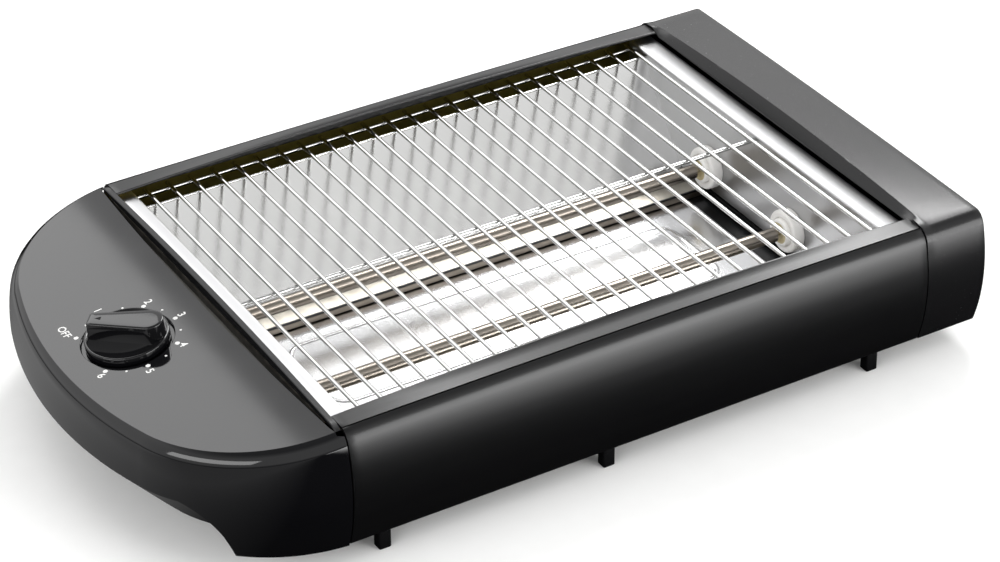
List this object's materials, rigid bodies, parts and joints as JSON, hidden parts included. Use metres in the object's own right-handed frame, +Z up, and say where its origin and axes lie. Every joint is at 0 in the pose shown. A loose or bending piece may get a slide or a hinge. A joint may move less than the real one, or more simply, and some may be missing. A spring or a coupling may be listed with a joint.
{
  "type": "flat toaster",
  "caption": "Low table-top bread toaster with a wire grill over two heating tubes, a timer knob on a rounded control end and a crumb tray that slides out at the square end.",
  "frame": {"origin": "middle of the footprint, on the surface that the feet stand on", "axes": "+X towards the square end where the crumb tray comes out, +Y to the back, +Z up"},
  "size_m": [0.3795, 0.2252, 0.0709],
  "materials": {
    "housing_black": "glossy moulded",
    "cap_black": "satin moulded",
    "knob_black": "polished moulded",
    "base_black": "matte moulded",
    "panel_black": "semi-gloss black enamel",
    "trim_grey": "satin grey",
    "bright_steel": "bright rolled",
    "tray_bright": "bright rolled",
    "grill_chrome": "chrome plated",
    "tube_steel": "polished, heat tinted",
    "plated_steel": "zinc plated",
    "insulator_white": "semi-glazed white",
    "contact_brass": "plain",
    "terminal_white": "moulded",
    "lead_sleeve": "silicone sleeve"
  },
  "bodies": {
    "body": {"control_housing": "housing_black", "housing_cover": "base_black", "front_panel": "panel_black", "back_panel": "panel_black", "end_cap": "cap_black", "base_plate": "plated_steel", "feet": "base_black", "reflector_front": "bright_steel", "reflector_back": "bright_steel", "end_plate_left": "bright_steel", "end_plate_right": "bright_steel", "seam_trim": "trim_grey", "heat_shield": "plated_steel", "wire_grill": "grill_chrome", "heater_tube_front": "tube_steel", "heater_tube_back": "tube_steel", "heater_pins": "plated_steel", "insulators_left": "insulator_white", "insulators_right": "insulator_white", "pin_bushings": "insulator_white", "link_strap": "plated_steel", "tray_rail_front": "plated_steel", "tray_rail_back": "plated_steel", "rail_rivets": "plated_steel", "timer_bushing": "contact_brass", "timer_plate": "plated_steel", "timer_case": "base_black", "timer_blades": "contact_brass", "timer_screws": "plated_steel", "terminal_block": "terminal_white", "terminal_screws": "contact_brass", "lead_live": "lead_sleeve", "lead_heater": "lead_sleeve", "lead_return": "lead_sleeve", "cord_gland": "base_black", "panel_screws": "plated_steel", "cap_screws": "plated_steel", "cover_screws": "plated_steel", "shield_screws": "plated_steel", "plate_rivets": "plated_steel"},
    "knob": {"timer_knob": "knob_black", "timer_spindle": "plated_steel", "spindle_clip": "plated_steel"},
    "tray": {"crumb_tray": "tray_bright", "tray_pull": "base_black", "tray_rivets": "plated_steel"}
  },
  "joints": [
    {"name": "timer_turn", "type": "hinge", "parent": "body", "child": "knob", "pos_m": [-0.15499, 0, 0.05935], "axis": [0.1149, 0, -0.9934], "range_deg": [0, 280]},
    {"name": "tray_slide", "type": "slide", "parent": "body", "child": "tray", "axis": [1, 0, 0], "range_m": [0, 0.2]}
  ]
}
